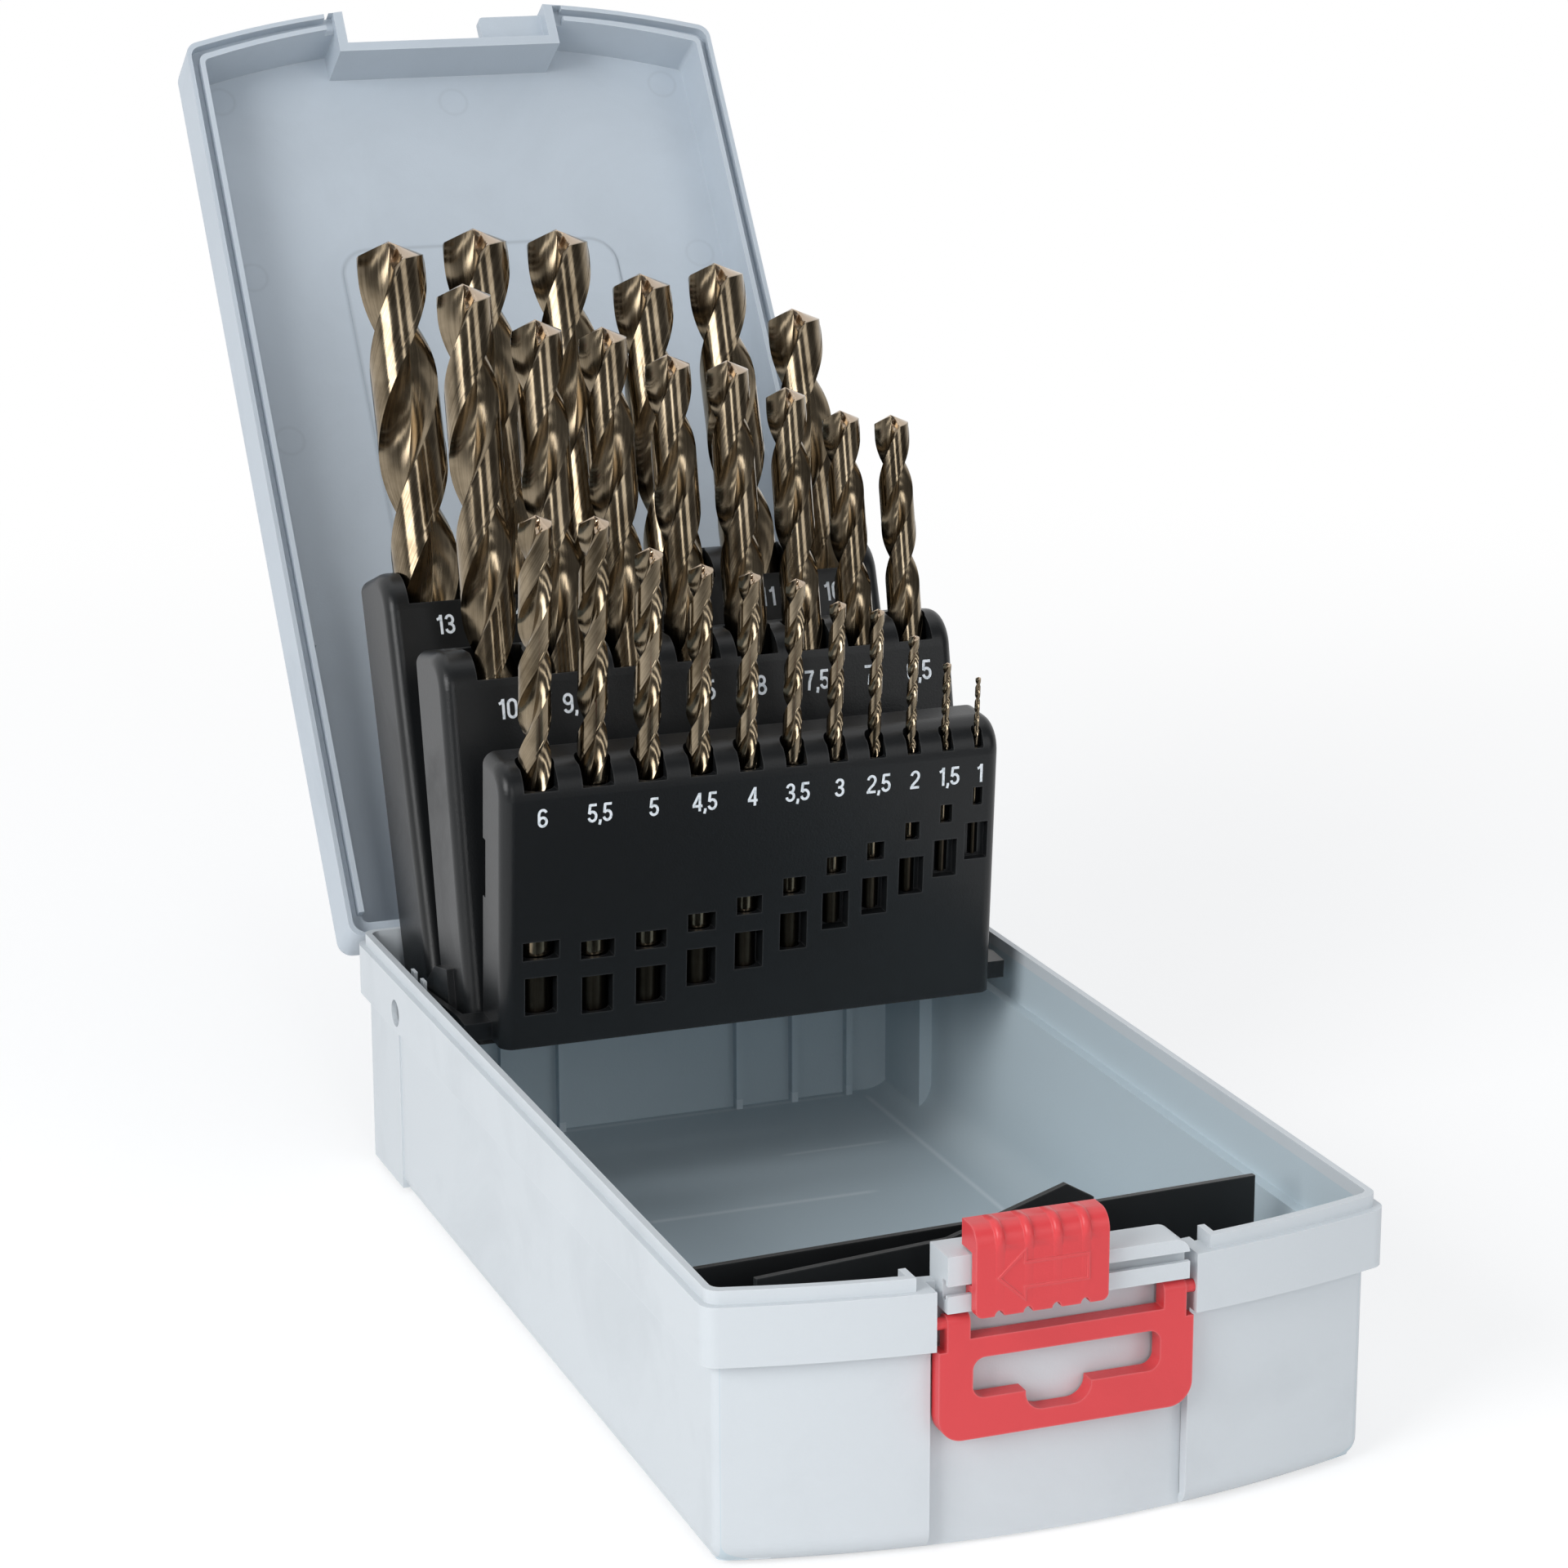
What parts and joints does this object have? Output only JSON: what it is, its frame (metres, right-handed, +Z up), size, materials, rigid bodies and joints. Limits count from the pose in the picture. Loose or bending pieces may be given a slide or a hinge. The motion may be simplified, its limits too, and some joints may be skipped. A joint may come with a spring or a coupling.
{
  "type": "drill bit case",
  "caption": "Hinged plastic case whose three racks of twist drills fan up as the lid opens, with a sliding latch and a fold-out carry handle.",
  "frame": {"origin": "centre of the base tray's flat underside", "axes": "+Z is up out of the base, +Y points to the lid hinge at the back, and +X points to the right seen from the latch end"},
  "size_m": [0.115, 0.3369, 0.2098],
  "materials": {
    "case_shell": "light grey moulded plastic with a fine satin texture",
    "rack_black": "black moulded plastic with a low sheen",
    "latch_red": "red moulded plastic, semi-gloss",
    "insert_black": "thin black sheet",
    "pin_steel": "drawn steel wire",
    "pivot_plastic": "dark moulded plastic pin",
    "cobalt_steel": "ground cobalt high-speed steel with a bronze temper colour"
  },
  "bodies": {
    "base": {"base_tray": "case_shell", "hinge_pin_left": "pin_steel", "hinge_pin_right": "pin_steel", "rack_pivot_pin_left": "pivot_plastic", "rack_pivot_pin_right": "pivot_plastic", "insert_strip_rear": "insert_black", "insert_strip_front": "insert_black"},
    "lid": {"lid": "case_shell"},
    "rack_front": {"rack_front": "rack_black", "rack_front_arm_left": "rack_black", "rack_front_arm_right": "rack_black", "drill_06_0": "cobalt_steel", "drill_05_5": "cobalt_steel", "drill_05_0": "cobalt_steel", "drill_04_5": "cobalt_steel", "drill_04_0": "cobalt_steel", "drill_03_5": "cobalt_steel", "drill_03_0": "cobalt_steel", "drill_02_5": "cobalt_steel", "drill_02_0": "cobalt_steel", "drill_01_5": "cobalt_steel", "drill_01_0": "cobalt_steel"},
    "rack_middle": {"rack_middle": "rack_black", "rack_middle_arm_left": "rack_black", "rack_middle_arm_right": "rack_black", "drill_10_0": "cobalt_steel", "drill_09_5": "cobalt_steel", "drill_09_0": "cobalt_steel", "drill_08_5": "cobalt_steel", "drill_08_0": "cobalt_steel", "drill_07_5": "cobalt_steel", "drill_07_0": "cobalt_steel", "drill_06_5": "cobalt_steel"},
    "rack_rear": {"rack_rear": "rack_black", "rack_rear_lug_left": "rack_black", "rack_rear_lug_right": "rack_black", "drill_13_0": "cobalt_steel", "drill_12_5": "cobalt_steel", "drill_12_0": "cobalt_steel", "drill_11_5": "cobalt_steel", "drill_11_0": "cobalt_steel", "drill_10_5": "cobalt_steel"},
    "latch_slider": {"latch_slider": "latch_red"},
    "carry_handle": {"carry_handle": "latch_red"}
  },
  "joints": [
    {"name": "lid_hinge", "type": "hinge", "parent": "base", "child": "lid", "pos_m": [0, 0.0995, 0.043], "axis": [1, 0, 0], "range_deg": [0, 125]},
    {"name": "rack_front_tilt", "type": "hinge", "parent": "base", "child": "rack_front", "pos_m": [0, 0.0708, 0.0378], "axis": [1, 0, 0], "range_deg": [0, 86]},
    {"name": "rack_middle_tilt", "type": "hinge", "parent": "base", "child": "rack_middle", "pos_m": [0, 0.0708, 0.0378], "axis": [1, 0, 0], "range_deg": [0, 101.5]},
    {"name": "rack_rear_tilt", "type": "hinge", "parent": "base", "child": "rack_rear", "pos_m": [0, 0.0708, 0.0378], "axis": [1, 0, 0], "range_deg": [0, 109.2]},
    {"name": "latch_slide", "type": "slide", "parent": "base", "child": "latch_slider", "axis": [1, 0, 0], "range_m": [0, 0.0075]},
    {"name": "handle_swing", "type": "hinge", "parent": "base", "child": "carry_handle", "pos_m": [-0.0008, -0.10335, 0.0383], "axis": [-1, 0, 0], "range_deg": [0, 90]}
  ],
  "couplings": [
    {"joint": "rack_front_tilt", "follows": "lid_hinge", "ratio": 0.688},
    {"joint": "rack_middle_tilt", "follows": "lid_hinge", "ratio": 0.812},
    {"joint": "rack_rear_tilt", "follows": "lid_hinge", "ratio": 0.8736}
  ]
}
